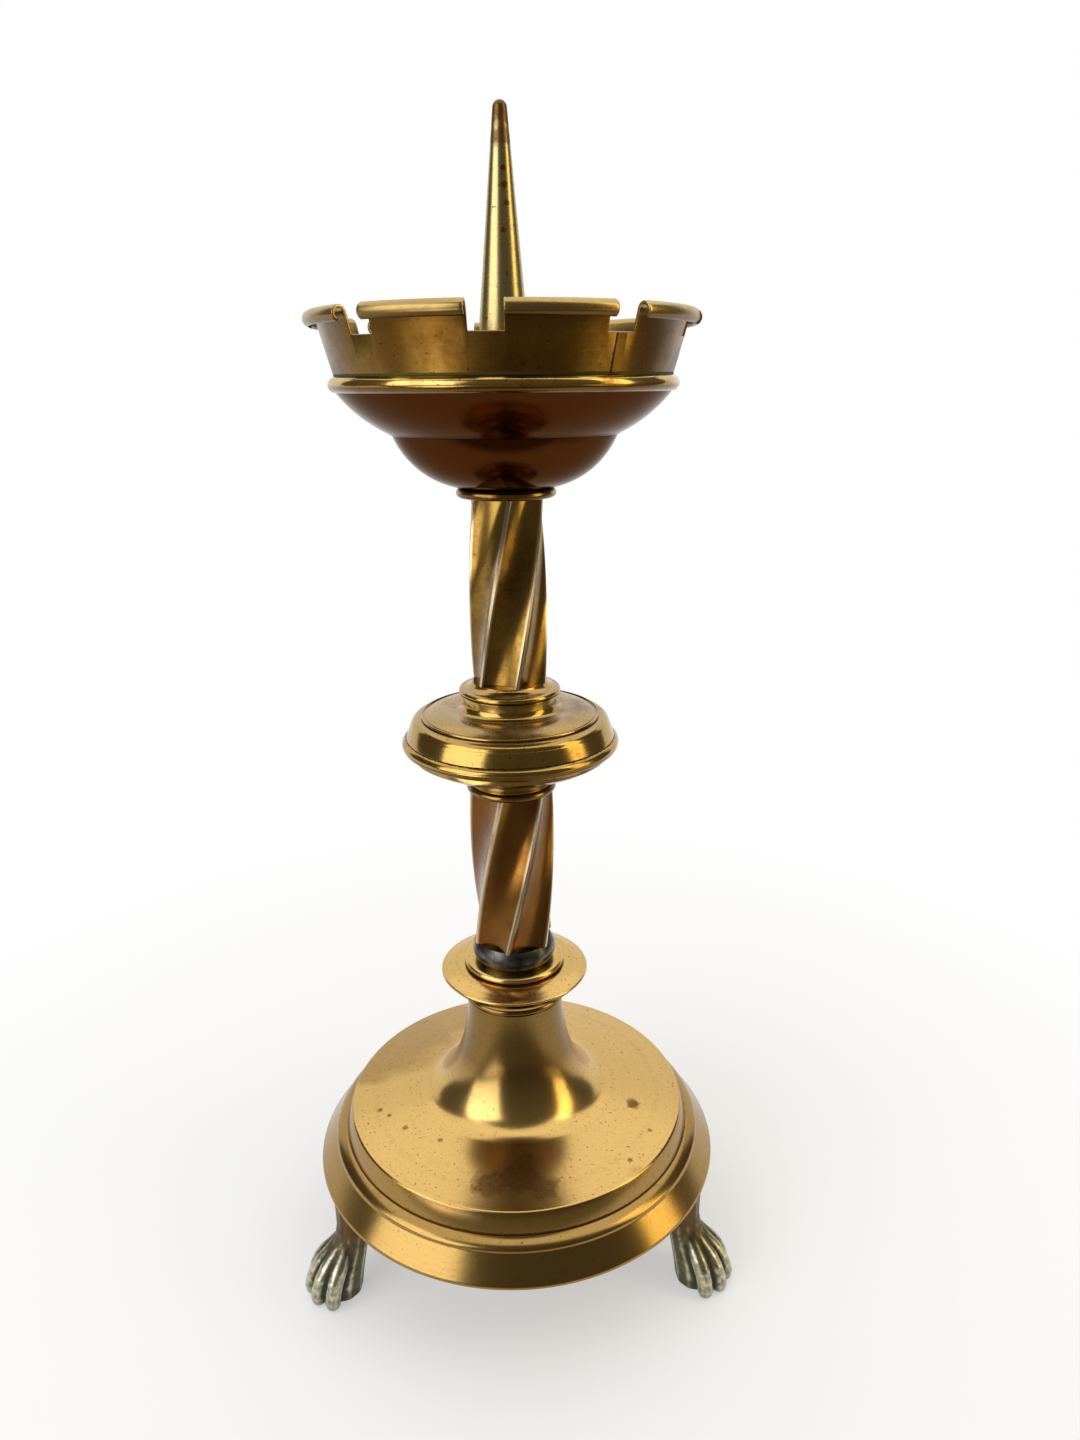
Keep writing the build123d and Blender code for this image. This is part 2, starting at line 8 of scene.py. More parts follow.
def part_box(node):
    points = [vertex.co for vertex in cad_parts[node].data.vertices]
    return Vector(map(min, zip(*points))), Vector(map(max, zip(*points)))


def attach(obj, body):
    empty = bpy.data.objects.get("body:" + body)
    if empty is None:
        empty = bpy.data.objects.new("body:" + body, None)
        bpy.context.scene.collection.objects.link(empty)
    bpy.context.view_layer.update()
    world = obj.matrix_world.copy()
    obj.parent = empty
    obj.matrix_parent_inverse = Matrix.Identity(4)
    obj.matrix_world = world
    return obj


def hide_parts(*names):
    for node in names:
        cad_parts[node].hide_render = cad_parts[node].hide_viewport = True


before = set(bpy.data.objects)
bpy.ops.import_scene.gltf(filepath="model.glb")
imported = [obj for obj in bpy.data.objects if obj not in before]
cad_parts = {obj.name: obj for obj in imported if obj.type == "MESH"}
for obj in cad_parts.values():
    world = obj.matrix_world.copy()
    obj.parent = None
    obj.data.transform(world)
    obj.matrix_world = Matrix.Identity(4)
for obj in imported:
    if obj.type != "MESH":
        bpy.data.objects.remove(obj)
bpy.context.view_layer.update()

# Paw feet: three solid brass castings, each screwed up against the rim by a stud. Four toes fan out from a thick
# ankle and slope down to the surface. Their ridges are pale, from wear and a painted highlight, and between them lies
# black, polish dirt with painted shade.
MM = 0.001
sharp_angle = 34


def linear(code):
    """Linear colour of an sRGB hex value."""
    channels = [int(code[place:place + 2], 16) / 255 for place in (1, 3, 5)]
    return [c / 12.92 if c <= 0.04045 else ((c + 0.055) / 1.055) ** 2.4 for c in channels] + [1.0]


def add(tree, kind, inputs, output=0, **settings):
    """Adds one shader node with its settings and links, and returns one of its outputs."""
    made = tree.nodes.new("ShaderNode" + kind)
    for name, value in settings.items():
        setattr(made, name, value)
    for name, value in inputs.items():
        if isinstance(value, bpy.types.NodeSocket):
            tree.links.new(value, made.inputs[name])
        else:
            made.inputs[name].default_value = value
    return made.outputs[output]


def fit_piece(mesh, name, material, body, slot, *nodes):
    """Turns a finished bmesh into a piece that stands for its nodes and rides on its body."""
    data = bpy.data.meshes.new(name)
    mesh.to_mesh(data)
    mesh.free()
    data.materials.append(material)
    data.shade_smooth()
    data.set_sharp_from_angle(angle=radians(sharp_angle))
    piece = bpy.data.objects.new(name, data)
    bpy.context.scene.collection.objects.link(piece)
    if nodes:
        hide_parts(*nodes)
    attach(piece, body)
    return piece


ankle_r = 66.0
paw_feet = {"foot_back": 90, "foot_left": 210, "foot_right": 330}
toe_angles = (-51, -17, 17, 51)
# Along the ankle and along a toe, in millimetres: shift out from the ankle's axis, reach from there in the fan of
# the toes, height and thickness
ankle_run = (
    (0, 0, 36, 6.4), (0, 0, 30, 6.2), (0.3, 0, 25, 5.9), (1.4, 0, 19, 6.0),
    (3.4, 0, 14, 7.0), (5.2, 0, 9.5, 7.8), (6.2, 0, 5, 8.0), (6.4, 0, 0, 7.6),
)
toe_run = (
    (0.8, 1.6, 21, 3.4), (2.0, 3.4, 18, 3.0), (3.2, 5.4, 15, 2.9), (4.4, 7.4, 12, 3.0),
    (5.3, 8.7, 9, 2.95), (5.9, 9.5, 6, 2.9), (6.2, 9.8, 3.4, 2.9), (6.2, 9.7, 1.6, 2.7),
)
bead_step = 0.8
skin_size = 0.38
cast_strokes = 3
wear_strokes = 24


def beads_along(mesh, run, angle):
    """Casts a run as a row of overlapping balls, leaning out from the ankle at an angle."""
    for start, end in zip(run, run[1:]):
        count = max(2, round((Vector(end[:3]) - Vector(start[:3])).length / bead_step))
        for place in range(count):
            shift, reach, high, thick = Vector(start).lerp(Vector(end), place / count)
            centre = Vector((ankle_r + shift + reach * cos(angle), reach * sin(angle), high))
            bmesh.ops.create_icosphere(mesh, subdivisions=2, radius=thick * MM, matrix=Matrix.Translation(centre * MM))


paw = bmesh.new()
beads_along(paw, ankle_run, 0)
for toe_angle in toe_angles:
    beads_along(paw, toe_run, radians(toe_angle))
rough_casting = bpy.data.meshes.new("rough_casting")
paw.to_mesh(rough_casting)
paw.free()
pattern = bpy.data.objects.new("paw_pattern", rough_casting)
bpy.context.scene.collection.objects.link(pattern)
skin = pattern.modifiers.new("skin", "REMESH")
skin.mode = "VOXEL"
skin.voxel_size = skin_size * MM
cast_skin = bpy.data.meshes.new_from_object(pattern.evaluated_get(bpy.context.evaluated_depsgraph_get()))
bpy.data.objects.remove(pattern)
paw = bmesh.new()
paw.from_mesh(cast_skin)
for stroke in range(cast_strokes):
    bmesh.ops.smooth_vert(paw, verts=paw.verts[:], factor=0.5, use_axis_x=True, use_axis_y=True, use_axis_z=True)
for height, facing in ((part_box("foot_left")[0].z, -1), (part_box("foot_left")[1].z, 1)):
    cut = bmesh.ops.bisect_plane(
        paw, geom=paw.verts[:] + paw.edges[:] + paw.faces[:], plane_co=(0, 0, height), plane_no=(0, 0, facing),
        clear_outer=True,
    )
    bmesh.ops.edgeloop_fill(paw, edges=[part for part in cut["geom_cut"] if isinstance(part, bmesh.types.BMEdge)])
# Where the skin lies below its own smoothed shape it is a recess, where it stands proud it is a ridge
recess = paw.verts.layers.float.new("recess")
worn = paw.copy()
for stroke in range(wear_strokes):
    bmesh.ops.smooth_vert(worn, verts=worn.verts[:], factor=0.5, use_axis_x=True, use_axis_y=True, use_axis_z=True)
paw.normal_update()
for rough, smooth in zip(paw.verts, worn.verts):
    rough[recess] = (smooth.co - rough.co).dot(rough.normal) / MM
worn.free()

# Cast brass, chased and then rubbed for a century: pale ridges, worn and with a painted highlight, olive flanks, and
# black-green clefts, polish dirt with painted shade
paw_brass = bpy.data.materials.new("cast_brass_rubbed_and_shaded")
paw_brass.use_nodes = True
tree = paw_brass.node_tree
surface = tree.nodes["Principled BSDF"]
place = add(tree, "TexCoord", {}, "Object")
depth = add(tree, "Attribute", {}, "Fac", attribute_name="recess")
grit = add(tree, "TexNoise", {"Vector": place, "Scale": 1000 / 1.3, "Detail": 4.0}, "Fac")
depth = add(tree, "Math", {0: grit, 1: 0.16, 2: depth}, operation="MULTIPLY_ADD")
# painted shade and highlight: the ramp lays near-white on the ridges and near-black in the clefts, by how deep the skin
# lies
ramp = tree.nodes.new("ShaderNodeValToRGB")
stops = ramp.color_ramp.elements
for spot, code in ((0, "#F4F1E2"), (0.2, "#CBC6AC"), (0.36, "#7C775A"), (0.56, "#2E2E1E"), (1, "#0B0D08")):
    stop = stops[0] if spot == 0 else stops[-1] if spot == 1 else stops.new(spot)
    stop.color = linear(code)
wear_and_shade = add(tree, "MapRange", {"Value": depth, "From Min": -0.16, "From Max": 0.34}, "Result")
tree.links.new(wear_and_shade, ramp.inputs["Fac"])
# the ankle is painted brown as shade under the rim's skirt, and the soles darker as shade towards the floor
high = add(tree, "SeparateXYZ", {0: place}, "Z")
skirt_shade = add(tree, "MapRange", {"Value": high, "From Min": 15 * MM, "From Max": 24 * MM, "To Max": 0.9}, "Result")
skin_and_shade = add(tree, "Mix", {0: skirt_shade, 6: ramp.outputs["Color"], 7: linear("#5E4120")}, 2, data_type="RGBA")
floor_shade = add(tree, "MapRange", {"Value": high, "From Min": 7 * MM, "From Max": 0.0, "To Max": 0.7}, "Result")
skin_and_shade = add(tree, "Mix", {0: floor_shade, 6: skin_and_shade, 7: linear("#3A3826")}, 2, data_type="RGBA")
tree.links.new(skin_and_shade, surface.inputs["Base Color"])
dull = add(tree, "MapRange", {"Value": wear_and_shade, "From Min": 0.2, "From Max": 0.8, "To Min": 0.28, "To Max": 0.62}, "Result")
tree.links.new(dull, surface.inputs["Roughness"])
skin_bump = add(tree, "Bump", {"Height": grit, "Strength": 0.25, "Distance": 0.12 * MM}, "Normal")
tree.links.new(skin_bump, surface.inputs["Normal"])
# the dark clefts, dirt with painted shade, have no metal shine
metal_outside_clefts = add(tree, "MapRange", {"Value": wear_and_shade, "From Min": 0.38, "From Max": 0.6, "To Min": 1.0, "To Max": 0.0}, "Result")
tree.links.new(metal_outside_clefts, surface.inputs["Metallic"])

for foot, angle in paw_feet.items():
    turned_paw = paw.copy()
    bearing = Matrix.Rotation(radians(angle), 3, "Z")
    bmesh.ops.rotate(turned_paw, verts=turned_paw.verts[:], cent=(0, 0, 0), matrix=bearing)
    fit_piece(turned_paw, foot.replace("foot", "paw"), paw_brass, "stand", "paw_brass", foot)
paw.free()


# Base rim: a heavy turned brass ring. A splayed skirt stands on the feet, and a rounded ledge with a fine lip
# carries the dome, which is sweated over a spigot inside.
around_steps = 192
arc_step = 0.9


def bow(start, end, bulge):
    """Circular arc between two points of a half section, bulging to the right of its travel."""
    chord = Vector(end) - Vector(start)
    half = chord.length / 2
    radius = (half * half + bulge * bulge) / (2 * bulge)
    side = Vector((chord.y, -chord.x)).normalized()
    middle = (Vector(start) + Vector(end)) / 2 - side * (radius - bulge)
    first = degrees(atan2(start[1] - middle.y, start[0] - middle.x))
    sweep = copysign(2 * degrees(asin(half / abs(radius))), bulge)
    return (middle.x, middle.y, abs(radius), abs(radius), first, first + sweep)


def half_section(mesh, foot, path, closed=True):
    """Draws a half section in millimetres above a foot: points, points with a rounding, and arcs."""
    ends = []
    rounded = {}
    for stroke in path:
        if len(stroke) == 6:
            mid_r, mid_z, wide, high, first_angle, last_angle = stroke
            middle = Vector((mid_r * MM, 0, foot + mid_z * MM))
            drawn = len(mesh.verts)
            first = mesh.verts.new(middle + Vector((cos(radians(first_angle)), 0, sin(radians(first_angle)))) * MM)
            steps = max(8, round(abs(radians(last_angle - first_angle)) * max(wide, high) / arc_step))
            swept = bmesh.ops.spin(
                mesh, geom=[first], cent=middle, axis=(0, -1, 0), angle=radians(last_angle - first_angle), steps=steps
            )
            last = next(part for part in swept["geom_last"] if isinstance(part, bmesh.types.BMVert))
            mesh.verts.ensure_lookup_table()
            bmesh.ops.scale(mesh, vec=(wide, 1, high), space=Matrix.Translation(-middle), verts=mesh.verts[drawn:])
        else:
            first = last = mesh.verts.new((stroke[0] * MM, 0, foot + stroke[1] * MM))
            if len(stroke) == 3:
                rounded.setdefault(stroke[2], []).append(first)
        ends.append((first, last))
    joins = zip(ends, ends[1:] + ends[:1]) if closed else zip(ends, ends[1:])
    for (_, leaving), (arriving, _) in joins:
        mesh.edges.new((leaving, arriving))
    for rounding, corners in rounded.items():
        bmesh.ops.bevel(
            mesh, geom=corners, offset=rounding * MM, offset_type="OFFSET", segments=4, profile=0.5, affect="VERTICES",
            material=-1,
        )


def turned(name, node, path, material, slot, body="stand", closed=True):
    """A piece turned about the stand's axis from its half section."""
    mesh = bmesh.new()
    half_section(mesh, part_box(node)[0].z, path, closed)
    bmesh.ops.spin(
        mesh, geom=mesh.verts[:] + mesh.edges[:], cent=(0, 0, 0), axis=(0, 0, 1), angle=2 * pi, steps=around_steps,
        use_merge=True,
    )
    bmesh.ops.remove_doubles(mesh, verts=mesh.verts[:], dist=0.002 * MM)
    bmesh.ops.recalc_face_normals(mesh, faces=mesh.faces[:])
    return fit_piece(mesh, name, material, body, slot, node)


def aged_brass(name, bright, toned, under, patch_mm, patches, gloss, dull, stains=(), joints=(), dust=0.0):
    """Polished brass that has toned in patches, with turning marks, specks, placed stains, dirt along its joints and
    painted shade on its undersides.
    """
    finish = bpy.data.materials.new(name)
    finish.use_nodes = True
    tree = finish.node_tree
    surface = tree.nodes["Principled BSDF"]
    surface.inputs["Metallic"].default_value = 1.0
    place = add(tree, "TexCoord", {}, "Object")
    cloud = add(tree, "TexNoise", {"Vector": place, "Scale": 1000 / patch_mm, "Detail": 5.0, "Roughness": 0.62}, "Fac")
    tone = add(tree, "MapRange", {"Value": cloud, "From Min": patches[0], "From Max": patches[1]}, "Result")
    grain = add(tree, "TexNoise", {"Vector": place, "Scale": 1000 / 1.6, "Detail": 4.0, "Roughness": 0.7}, "Fac")
    # turning marks follow the lathe: they change with the radius and the height only
    flat = add(tree, "VectorMath", {0: place, 1: (1, 1, 0)}, operation="MULTIPLY")
    radius = add(tree, "VectorMath", {0: flat}, "Value", operation="LENGTH")
    height = add(tree, "SeparateXYZ", {0: place}, "Z")
    lathe = add(tree, "CombineXYZ", {"X": radius, "Z": height})
    marks = add(tree, "TexNoise", {"Vector": lathe, "Scale": 1000 / 1.1, "Detail": 3.0}, "Fac")
    middling = {"From Min": 0.3, "From Max": 0.7}
    mottle = add(tree, "MapRange", {"Value": grain, **middling, "To Min": -0.12, "To Max": 0.12}, "Result")
    streak = add(tree, "MapRange", {"Value": marks, **middling, "To Min": -0.09, "To Max": 0.09}, "Result")
    tone = add(tree, "Math", {0: tone, 1: mottle}, operation="ADD")
    tone = add(tree, "Math", {0: tone, 1: streak}, operation="ADD", use_clamp=True)
    for x, y, z, size, depth in stains:
        away = add(tree, "VectorMath", {0: place, 1: (x * MM, y * MM, z * MM)}, "Value", operation="DISTANCE")
        blots = {"Scale": 1000 / (size * 0.9), "Detail": 4.0, "Roughness": 0.6}
        wobble = add(tree, "TexNoise", {"Vector": place, **blots}, "Fac")
        ragged = add(tree, "Math", {0: wobble, 1: size * 1.5 * MM, 2: away}, operation="MULTIPLY_ADD")
        edge = {"From Min": size * 1.95 * MM, "From Max": size * 1.45 * MM}
        stain = add(tree, "MapRange", {"Value": ragged, **edge, "To Max": depth}, "Result")
        stain = add(tree, "Math", {0: stain, 1: mottle, 2: stain}, operation="MULTIPLY_ADD")
        tone = add(tree, "Math", {0: tone, 1: stain}, operation="MAXIMUM")
    colour = add(tree, "Mix", {0: tone, 6: linear(bright), 7: linear(toned)}, 2, data_type="RGBA")
    # painted shade: faces that look down are laid towards the darker under colour
    facing = add(tree, "SeparateXYZ", {0: add(tree, "NewGeometry", {}, "Normal")}, "Z")
    underside_shade = add(tree, "MapRange", {"Value": facing, "From Min": 0.05, "From Max": -0.35, "To Max": 0.9}, "Result")
    colour = add(tree, "Mix", {0: underside_shade, 6: colour, 7: linear(under)}, 2, data_type="RGBA")
    fine = add(tree, "TexNoise", {"Vector": place, "Scale": 1000 / 0.9, "Detail": 2.0}, "Fac")
    specks = add(tree, "MapRange", {"Value": fine, "From Min": 0.66, "From Max": 0.72, "To Max": 0.75}, "Result")
    colour = add(tree, "Mix", {0: specks, 6: colour, 7: linear("#33200D")}, 2, data_type="RGBA")
    rough = add(tree, "MapRange", {"Value": tone, "To Min": gloss, "To Max": dull}, "Result")
    uneven = add(tree, "Math", {0: grain, 1: 0.8 * MM, 2: height}, operation="MULTIPLY_ADD")
    for level, half, dirt in joints:
        line = add(tree, "Math", {0: uneven, 1: (level + 0.4) * MM, 2: half * MM}, operation="COMPARE")
        colour = add(tree, "Mix", {0: line, 6: colour, 7: linear(dirt)}, 2, data_type="RGBA")
        rough = add(tree, "Math", {0: line, 1: 0.3, 2: rough}, operation="MULTIPLY_ADD")
    if dust:
        level = add(tree, "MapRange", {"Value": facing, "From Min": 0.75, "From Max": 0.98, "To Max": dust}, "Result")
        settled = add(tree, "Math", {0: level, 1: grain}, operation="MULTIPLY")
        colour = add(tree, "Mix", {0: settled, 6: colour, 7: linear("#A3958C")}, 2, data_type="RGBA")
        rough = add(tree, "Math", {0: settled, 1: 0.5, 2: rough}, operation="MULTIPLY_ADD")
        bare = add(tree, "Math", {0: settled, 1: -0.9, 2: 1.0}, operation="MULTIPLY_ADD")
        tree.links.new(bare, surface.inputs["Metallic"])
    tree.links.new(colour, surface.inputs["Base Color"])
    tree.links.new(rough, surface.inputs["Roughness"])
    # old spun and turned work is never quite true, so its reflections waver a little
    waver = add(tree, "TexNoise", {"Vector": place, "Scale": 1000 / 22, "Detail": 1.0}, "Fac")
    true = add(tree, "Bump", {"Height": waver, "Strength": 0.35, "Distance": 0.5 * MM}, "Normal")
    worn = add(tree, "Bump", {"Height": grain, "Strength": 0.12, "Distance": 0.05 * MM, "Normal": true}, "Normal")
    tree.links.new(worn, surface.inputs["Normal"])
    return finish


def tone_between(finish, low, high, reach, code, amount):
    """Lays a deeper or paler tone over a brass between two heights in millimetres, fading over a reach."""
    tree = finish.node_tree
    surface = tree.nodes["Principled BSDF"]
    height = add(tree, "SeparateXYZ", {0: add(tree, "TexCoord", {}, "Object")}, "Z")
    fade = {"From Min": (low - reach) * MM, "From Max": low * MM}
    rise = add(tree, "MapRange", {"Value": height, **fade, "To Max": amount}, "Result")
    fall = add(tree, "MapRange", {"Value": height, "From Min": (high + 0.4) * MM, "From Max": high * MM}, "Result")
    share = add(tree, "Math", {0: rise, 1: fall}, operation="MULTIPLY")
    under = surface.inputs["Base Color"].links[0].from_socket
    laid = add(tree, "Mix", {0: share, 6: under, 7: linear(code)}, 2, data_type="RGBA")
    tree.links.new(laid, surface.inputs["Base Color"])


# Rolled and turned brass, lacquer long gone: warm gold with brown stains and a soft gloss, and painted shade that makes
# rim and trumpet deeper.
# A stain has its place, size and depth, and a joint its height, half its width and the colour of its dirt
disc_stains = (
    (41.8, -13.1, 54.4, 2.4, 0.9), (-49.2, -11.4, 53.5, 1.0, 0.8), (-45.5, -14.8, 53.8, 0.8, 0.8),
    (-39.2, -22, 54.2, 1.1, 0.7), (-26.6, -29.4, 54.9, 1.0, 0.7), (37.7, -39.3, 53, 0.9, 0.8),
    (46.3, -25.4, 53.2, 0.8, 0.7), (0.6, -46, 54.1, 9, 0.8), (-8.9, -49.3, 53.5, 6, 0.75),
    (8.6, -51.9, 53.2, 5, 0.75), (-44, 32, 53, 22, 0.45), (-57, 12, 52.4, 9, 0.45), (-28, 44, 54, 14, 0.4),
)
rim_joint = ((45.6, 0.3, "#2B1B0A"),)
base_brass = aged_brass(
    "turned_brass_stained_and_shaded", "#D3AE68", "#6E4A22", "#5A3C16", 26, (0.62, 0.9), 0.2, 0.3, disc_stains, rim_joint
)
# painted shade: rim and trumpet are laid a deeper brown, standing in for the dark room they mirror
tone_between(base_brass, 33, 51.8, 1, "#7A5A2A", 0.6)
tone_between(base_brass, 74, 96.9, 14, "#5A3E1A", 0.75)
turned("rim_moulding", "base_rim", (
    (53, 0, 0.4), (72, 0, 0.35), (72, 1.0, 0.5), (66.3, 8.7, 0.3), (66.2, 9.7, 0.5), (64.7, 11.2, 1.4),
    (62.7, 11.9, 0.25), (59.75, 11.9), (59.75, 14.9, 0.3), (53, 14.9, 0.3),
), base_brass, "base_brass")

# Base dome: one spun brass shell with an upright band, a gently sloping disc and a trumpet up to the neck,
# where a web takes the washer and nut of the tie rod.
bore_r = 4.22
turned("base_trumpet", "base_dome", (
    (59.8, 0), (62.4, 0, 0.3), (60.1, 7, 0.7), (35.8, 49.32, 19, 39, 266.28, 180), (16.5, 50.72, 1.4, 1.4, -90, 90),
    (bore_r, 52.12), (bore_r, 47.12), (35.8, 49.32, 21.6, 41.6, 183.03, 266.04), (59.8, 4.42),
), base_brass, "base_brass")

# Base collar: a turned brass bun between a foot fillet and a rounded lip. It is dropped over the rod and sits on
# the neck of the base, where the rod holds it down.
turned("bun_collar", "base_collar", (
    (bore_r, 0), (17.9, 0, 0.3), (17.9, 1.5, 0.6), bow((18.7, 2.2), (25.3, 7.1), 0.7), (25.1, 7.6, 0.6, 0.6, -30, 80),
    bow((24.6, 8.25), (17.5, 9.8), 0.5), (16.1, 10.9, 1.3, 1.3, -90, 90), (bore_r, 12.2),
), base_brass, "base_brass")

# Packing ring: a ring of dull grey metal, taken as lead, that beds the lower stem on the collar. It bulges where
# the rod has squeezed it.
packing_metal = bpy.data.materials.new("lead_dull")
packing_metal.use_nodes = True
tree = packing_metal.node_tree
surface = tree.nodes["Principled BSDF"]
surface.inputs["Metallic"].default_value = 1.0
place = add(tree, "TexCoord", {}, "Object")
# Cast lead, pressed and handled: blue-grey with darker oxide and a soft, lumpy sheen
oxide = add(tree, "TexNoise", {"Vector": place, "Scale": 1000 / 5, "Detail": 5.0}, "Fac")
oxide = add(tree, "MapRange", {"Value": oxide, "From Min": 0.35, "From Max": 0.65}, "Result")
grey = add(tree, "Mix", {0: oxide, 6: linear("#66645F"), 7: linear("#34322D")}, 2, data_type="RGBA")
tree.links.new(grey, surface.inputs["Base Color"])
soft = add(tree, "MapRange", {"Value": oxide, "To Min": 0.22, "To Max": 0.4}, "Result")
tree.links.new(soft, surface.inputs["Roughness"])
lumps = add(tree, "Bump", {"Height": oxide, "Strength": 0.2, "Distance": 0.2 * MM}, "Normal")
tree.links.new(lumps, surface.inputs["Normal"])
turned("packing_ring", "stem_packing", (
    (bore_r, 0), bow((12.9, 0), (12.9, 7.4), 1.5), (bore_r, 7.4),
), packing_metal, "packing_metal")

# Twisted stems: two brass castings with six hollow flutes that climb to the right, their crests filed to narrow
# lands. The rod runs through them and clamps them between the rings.
# Cast brass with file marks: brown gold in the flutes, browner in the lower stem, and a pale edge on every land, worn
# and with a painted highlight
stem_brass = aged_brass("cast_brass_filed", "#9C7A3A", "#573714", "#4F3211", 20, (0.38, 0.72), 0.16, 0.32)
tone_between(stem_brass, 117, 172.6, 0.4, "#6E421C", 0.7)
tree = stem_brass.node_tree
surface = tree.nodes["Principled BSDF"]
# the narrow lands are painted pale: handling wear and a painted highlight
worn_and_highlit = add(tree, "Attribute", {}, "Fac", attribute_name="crest")
worn_and_highlit = add(tree, "Math", {0: worn_and_highlit, 1: 0.75}, operation="MULTIPLY")
toned = surface.inputs["Base Color"].links[0].from_socket
pale = add(tree, "Mix", {0: worn_and_highlit, 6: toned, 7: linear("#DCC9A4")}, 2, data_type="RGBA")
tree.links.new(pale, surface.inputs["Base Color"])
flutes = 6
flute_steps = 14
half_land = 0.45
crest_depth = 0.02
rises = 72
# Node, radius over the lands and depth of the flutes in millimetres, twist and first land in degrees
stems = {
    "lower_stem": ("stem_lower", 14.1, 3.0, 54, -99),
    "upper_stem": ("stem_upper", 12.2, 2.6, 53, -139),
}
for name, (node, crest_r, hollow, twist, first_crest) in stems.items():
    low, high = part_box(node)
    land = half_land / crest_r
    half_pitch = pi / flutes - land
    inner_r = crest_r - hollow
    away = (crest_r ** 2 - inner_r ** 2) / (2 * (crest_r * cos(half_pitch) - inner_r))
    middle = Vector((away * cos(pi / flutes), away * sin(pi / flutes), 0)) * MM
    mesh = bmesh.new()
    start = mesh.verts.new(Vector((crest_r * cos(land), crest_r * sin(land), 0)) * MM)
    turn = 2 * atan2(crest_r * sin(half_pitch), away - crest_r * cos(half_pitch))
    swept = bmesh.ops.spin(mesh, geom=[start], cent=middle, axis=(0, 0, -1), angle=turn, steps=flute_steps)
    last = next(part for part in swept["geom_last"] if isinstance(part, bmesh.types.BMVert))
    bmesh.ops.spin(mesh, geom=[last], cent=(0, 0, 0), axis=(0, 0, 1), angle=2 * land, steps=2)
    bmesh.ops.spin(
        mesh, geom=mesh.verts[:] + mesh.edges[:], cent=(0, 0, 0), axis=(0, 0, 1), angle=2 * pi * (flutes - 1) / flutes,
        steps=flutes - 1, use_duplicate=True,
    )
    bmesh.ops.remove_doubles(mesh, verts=mesh.verts[:], dist=0.01 * MM)
    bmesh.ops.rotate(mesh, verts=mesh.verts[:], cent=(0, 0, 0), matrix=Matrix.Rotation(radians(first_crest), 3, "Z"))
    bmesh.ops.translate(mesh, verts=mesh.verts[:], vec=(0, 0, low.z))
    bmesh.ops.spin(
        mesh, geom=mesh.edges[:] + mesh.verts[:], cent=(0, 0, 0), axis=(0, 0, 1), dvec=(0, 0, (high.z - low.z) / rises),
        angle=radians(twist), steps=rises,
    )
    bmesh.ops.holes_fill(mesh, edges=[edge for edge in mesh.edges if edge.is_boundary])
    bmesh.ops.recalc_face_normals(mesh, faces=mesh.faces[:])
    crest_layer = mesh.verts.layers.float.new("crest")
    for vert in mesh.verts:
        vert[crest_layer] = float(vert.co.xy.length > (crest_r - crest_depth) * MM)
    fit_piece(mesh, name, stem_brass, "stand", "stem_brass", node)

# Knop: five turned brass rings and shells stacked on the rod between the stems. A shallow bowl, a half-round bead,
# a splayed band with a fillet and a dusty sloping shoulder, and a dished collar for the upper stem.
turned("knop_ring", "knop_foot_ring", (
    (bore_r, 0), (13.6, 1.3, 1.3, 1.3, -90, 90), bow((13.6, 2.8), (13.8, 6.7), -0.3), (bore_r, 6.7),
), stem_brass, "stem_brass")
# Turned brass, polished on band and bead: bright yellow bands, dark lines at the joints, grey dust where it is level
knop_joints = ((187.82, 0.18, "#3A2410"), (192.02, 0.18, "#3A2410"))
knop_brass = aged_brass(
    "turned_brass_dusty", "#B5924D", "#6B491C", "#4F3210", 16, (0.5, 0.8), 0.15, 0.3, joints=knop_joints, dust=0.35
)
turned("knop_underside", "knop_lower", (
    (bore_r, 0), bow((13.8, 0), (32.2, 6.5), 1.2), (32.2, 8.4, 0.3), (30.2, 8.4), (30.2, 6.9), (14, 2), (bore_r, 2),
), knop_brass, "knop_brass")
turned("knop_middle_bead", "knop_bead", (
    (28.2, 0), (33.4, 2.1, 2.1, 2.1, -90, 90), (28.2, 4.2),
), knop_brass, "knop_brass")
turned("knop_shoulder", "knop_upper", (
    (32.1, 0), (34.1, 0, 0.25), (32.4, 4.4, 0.2), bow((32.3, 4.5), (29.0, 6.6), 0.8), (28.5, 6.6),
    (28.5, 7.1, 0.5, 0.5, -90, 90), (28.5, 7.2), (27.7, 7.2), bow((27.7, 7.4), (18.3, 8.9), 0.7),
    (17.8, 11.5, 2.7, 2.7, 270, 180), (15.1, 13.9, 0.25), (bore_r, 13.9), (bore_r, 11.9), (13.1, 11.9), (15.8, 6.8),
    (27.0, 6.2), (30.4, 3.4),
), knop_brass, "knop_brass")
turned("knop_dish", "knop_collar", (
    (bore_r, 0), (15.3, 1.2, 1.2, 1.2, -90, 90), bow((15.2, 2.4), (12.2, 4.2), -0.45), (bore_r, 4.2),
), knop_brass, "stem_brass")

# Pan: a thin turned ring, a spun cup and a spun bowl stand one on the other. Both shells have toned to a glossy
# brown, laid darker still as painted shade, and a half-round belt is sweated over the joint of bowl and gallery.
turned("pan_ring", "pan_collar", (
    (bore_r, 0), (13.95, 1.45, 1.45, 1.45, -90, 90), (bore_r, 2.9),
), stem_brass, "stem_brass")
